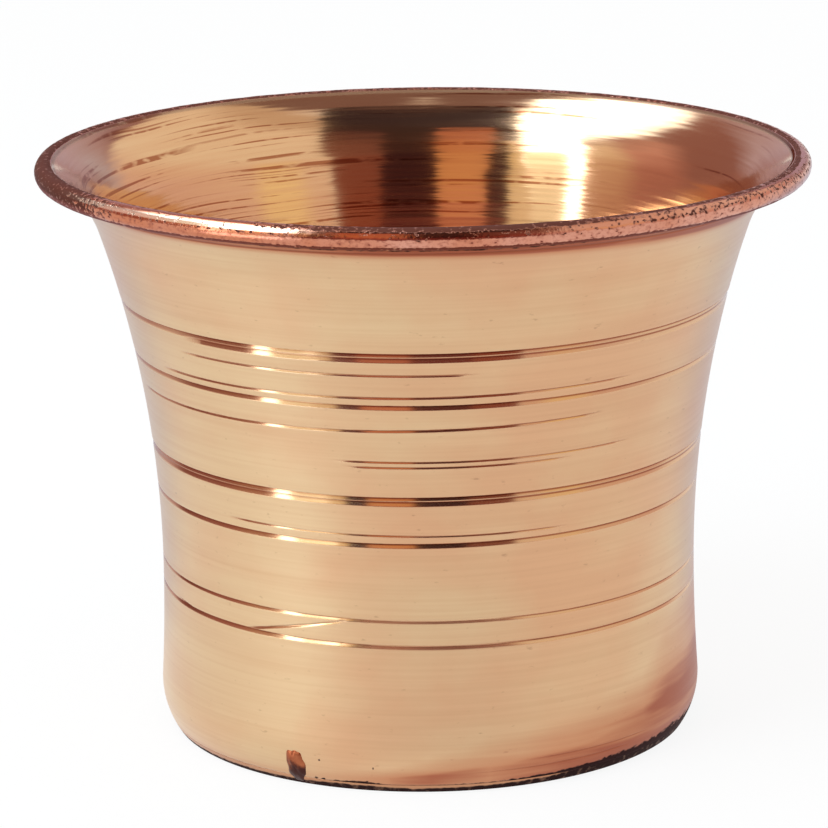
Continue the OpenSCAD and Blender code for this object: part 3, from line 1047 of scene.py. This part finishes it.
def toward(azimuth, elevation, distance):
    """Point at this angle from the front, right positive, and this angle up from the cup's middle."""
    a, e = math.radians(azimuth), math.radians(elevation)
    if e < 0:
        distance = min(distance, (cup_middle.z - above_floor) / -math.sin(e))
    way = Vector((math.sin(a) * math.cos(e), -math.cos(a) * math.cos(e), math.sin(e)))
    return way * distance + cup_middle


window_radiance = 3.2
window_light = bpy.data.lights.new("soft_window", "AREA")
window_light.shape = "RECTANGLE"
window_light.size = 0.455
window_light.size_y = 1.1
window_light.color = (0.78, 0.92, 1.0)
window_light.energy = window_radiance * math.pi * window_light.size * window_light.size_y
window = bpy.data.objects.new("soft_window", window_light)
window.location = toward(-51, 41, 0.85)
window.rotation_mode = "QUATERNION"
window.rotation_quaternion = (cup_middle - window.location).to_track_quat("-Z", "Y")
bpy.context.scene.collection.objects.link(window)
print("window power", round(window_light.energy, 2), "W")

# %% [markdown]
# ## What the metal mirrors
# A dark curtain hangs behind the camera and over the cup, doorways glow beside it, and the walls on the left
# are brown and red. Furniture could be modelled, but blurred metal shows only patches of light and colour, so
# soft-edged cards stand for them. Only reflections see the cards: they cast no shadow and the camera looks
# through them, so any other view of the cup stays clear.

# %% Cards: name, distance, strength, softness, then rows of elevation, left edge, right edge and colour


def upright(left, right, colours):
    """Rows of a card with upright edges, from its colours by elevation."""
    return [(elevation, left, right, colour) for elevation, colour in colours.items()]


cards = [
    ("red_doorway", 0.66, 1.0, 2, [
        (6, 16, 36, "#A05A4C"), (21, 16, 36, "#8A4E40"), (35, 16, 42, "#895D52"), (47, 17, 48, "#7C554B"),
        (59, 20, 55, "#553C3C")]),
    ("warm_doorway", 0.66, 1.0, 1.5, [
        (6, -26, -5, "#A8655A"), (16, -26, -5, "#BE7A66"), (20, -26, -5, "#DB9A7C"), (25, -26, -5, "#DDA676"),
        (35, -29, -5, "#D79A6C"), (46, -33, -5, "#CE8E68"), (59, -38, -6, "#BE7C63")]),
    ("gold_doorway", 0.66, 1.0, 1.5, [
        (10, -46, -34, "#F4E6C8"), (21, -46, -34, "#F4E6C8"), (28, -41, -34, "#F2E0B0"),
        (46, -45, -37, "#F2E0B0")]),
    ("dark_curtain", 0.70, 1.0, 1.5, [
        (-2, -40, 36, "#8A4A46"), (14, -40, 36, "#7A4240"), (20, -40, 36, "#4E2A29"),
        (27, -40, 37, "#3C2226"), (45, -44, 46, "#442F2C"), (58, -50, 54, "#453533"),
        (66, -60, 66, "#41353A"), (70, -70, 75, "#41353A"), (74, -85, 95, "#41353A"),
        (78, -80, 80, "#4B3B3B"), (82, -50, 50, "#5A4644"), (85, -10, 10, "#5A4644")]),
    ("pale_blind", 0.72, 2.0, 1.5, [
        (-2, -59, -44, "#C0BCA9"), (21, -60, -44, "#C4C2B0"), (28, -60, -40, "#F7F8E6"),
        (35, -60, -41, "#F7F8E6")]),
    ("skylight", 0.94, 6.0, 2.5, [
        (42, -153, -61, "#7C868E"), (47, -151, -59, "#B4C0CA"), (53, -147, -58, "#E4F2FF"),
        (60, -140, -58, "#E4F2FF"), (65, -134, -64, "#E4F2FF"), (70, -124, -86, "#E4F2FF"),
        (73, -116, -96, "#E4F2FF")]),
    ("window_head", 0.76, 6.0, 1.5, [
        (34, -72, -43, "#E4F2FF"), (46, -72, -46, "#E4F2FF"), (58, -72, -54, "#E4F2FF")]),
    ("window_strip", 0.74, 5.0, 1.5, [(-2, -65, -56, "#F4FAFF"), (34, -68, -58, "#F4FAFF")]),
    ("gold_screen", 0.95, 1.0, 8, upright(43, 71, {8: "#FFF0C4", 28: "#FFF0C4"})),
    ("cream_wall", 0.95, 1.0, 10, upright(-92, -56, {
        3: "#B98A76", 16: "#C9A08A", 24: "#DDBFA4", 33: "#EFDFC6", 47: "#FBF2DC"})),
    ("red_brown_wall", 0.96, 1.0, 14, upright(-120, -72, {
        3: "#B98078", 18: "#BA847C", 32: "#DBABA4", 47: "#E6BFB4"})),
    ("grey_wall", 0.95, 1.0, 12, upright(-205, -145, {3: "#C4B3C4", 46: "#C4B3C4"})),
    ("back_wall", 0.96, 1.0, 12, [
        (3, 132, 200, "#B8A8B0"), (16, 136, 200, "#C4C0D4"), (26, 140, 200, "#BCA6B3"),
        (33, 146, 200, "#AA95A6"), (54, 146, 200, "#B39B9B")]),
    ("brown_ceiling", 0.97, 1.0, 3, [
        (50, 150, 205, "#896F6C"), (62, 130, 214, "#896F6C"), (67, 112, 224, "#896F6C"),
        (70, 90, 234, "#896F6C"), (74, 70, 290, "#896F6C"), (79, 0, 360, "#896F6C"),
        (90, 0, 360, "#896F6C")]),
    ("left_wall", 0.98, 1.0, 3, upright(-215, -60, {3: "#B07F78", 14: "#9A6F6C", 48: "#A07572"})),
    ("warm_room", 0.99, 1.0, 4, upright(34, 160, {
        6: "#E6D2D2", 12: "#E9CDC6", 20: "#EFD9CA", 30: "#F9F3E5", 52: "#F9F1E2", 60: "#DAC8B5",
        70: "#DAC8B5"})),
    ("window_pool", 0.60, 3.6, 6, upright(-64, -36, {-20: "#E2F0FF", -3: "#E2F0FF"})),
    ("cool_floor", 0.90, 1.0, 15, upright(110, 250, {-50: "#DCE1F0", -2: "#DCE1F0"})),
]
print("cards planned:", [card[0] for card in cards])

# %% Shape of a card
CARD_ROWS, CARD_COLUMNS = 31, 25


def card_mesh(name, distance, soft, rows):
    """Mesh of a piece of a sphere round the cup, with its colour and its soft edges kept at each point."""
    heights, lefts, rights, colours = zip(*rows)
    paints = np.array([linear(code) for code in colours])
    inner_rows = np.linspace(heights[0] + soft, heights[-1] - soft, CARD_ROWS - 2)
    cover = np.ones((CARD_ROWS, CARD_COLUMNS))
    cover[[0, -1]] = 0
    cover[:, [0, -1]] = 0
    spots = []
    tints = []
    for e in (heights[0], *inner_rows, heights[-1]):
        left, right = np.interp(e, heights, lefts), np.interp(e, heights, rights)
        edge = min(soft, (right - left) / 3)
        across = (left, *np.linspace(left + edge, right - edge, CARD_COLUMNS - 2), right)
        spots += [toward(a, e, distance) for a in across]
        tints += [np.interp(e, heights, channel) for channel in paints.T] * CARD_COLUMNS
    starts = [r * CARD_COLUMNS + c for r in range(CARD_ROWS - 1) for c in range(CARD_COLUMNS - 1)]
    quads = [(s, s + 1, s + CARD_COLUMNS + 1, s + CARD_COLUMNS) for s in starts]
    mesh = bpy.data.meshes.new(name)
    mesh.from_pydata(spots, [], quads)
    mesh.attributes.new("cover", "FLOAT", "POINT").data.foreach_set("value", cover.ravel().astype(np.float32))
    mesh.attributes.new("tint", "FLOAT_COLOR", "POINT").data.foreach_set("color", np.array(tints, np.float32))
    return mesh


print("points on each card:", CARD_ROWS * CARD_COLUMNS)

# %% Hanging the cards
for name, distance, strength, soft, rows in cards:
    card = bpy.data.objects.new(name, card_mesh(name, distance, soft, rows))
    bpy.context.scene.collection.objects.link(card)
    paint, add = new_material(name + "_paint")
    tint = add("Attribute", {}, attribute_name="tint").outputs["Color"]
    covered = add("Attribute", {}, attribute_name="cover").outputs["Fac"]
    shine = add("Emission", {"Color": tint, "Strength": strength})
    clear = add("BsdfTransparent", {})
    faded = add("MixShader", {0: covered, 1: clear, 2: shine})
    add("OutputMaterial", {"Surface": faded})
    card.data.materials.append(paint)
    card.visible_camera = False
    card.visible_diffuse = False
    card.visible_shadow = False
print("cards hung:", len(cards))

# %% [markdown]
# ## View
# The plain view keeps white paper white and the copper's colours as they were set.

# %% View
bpy.context.scene.view_settings.view_transform = "Standard"
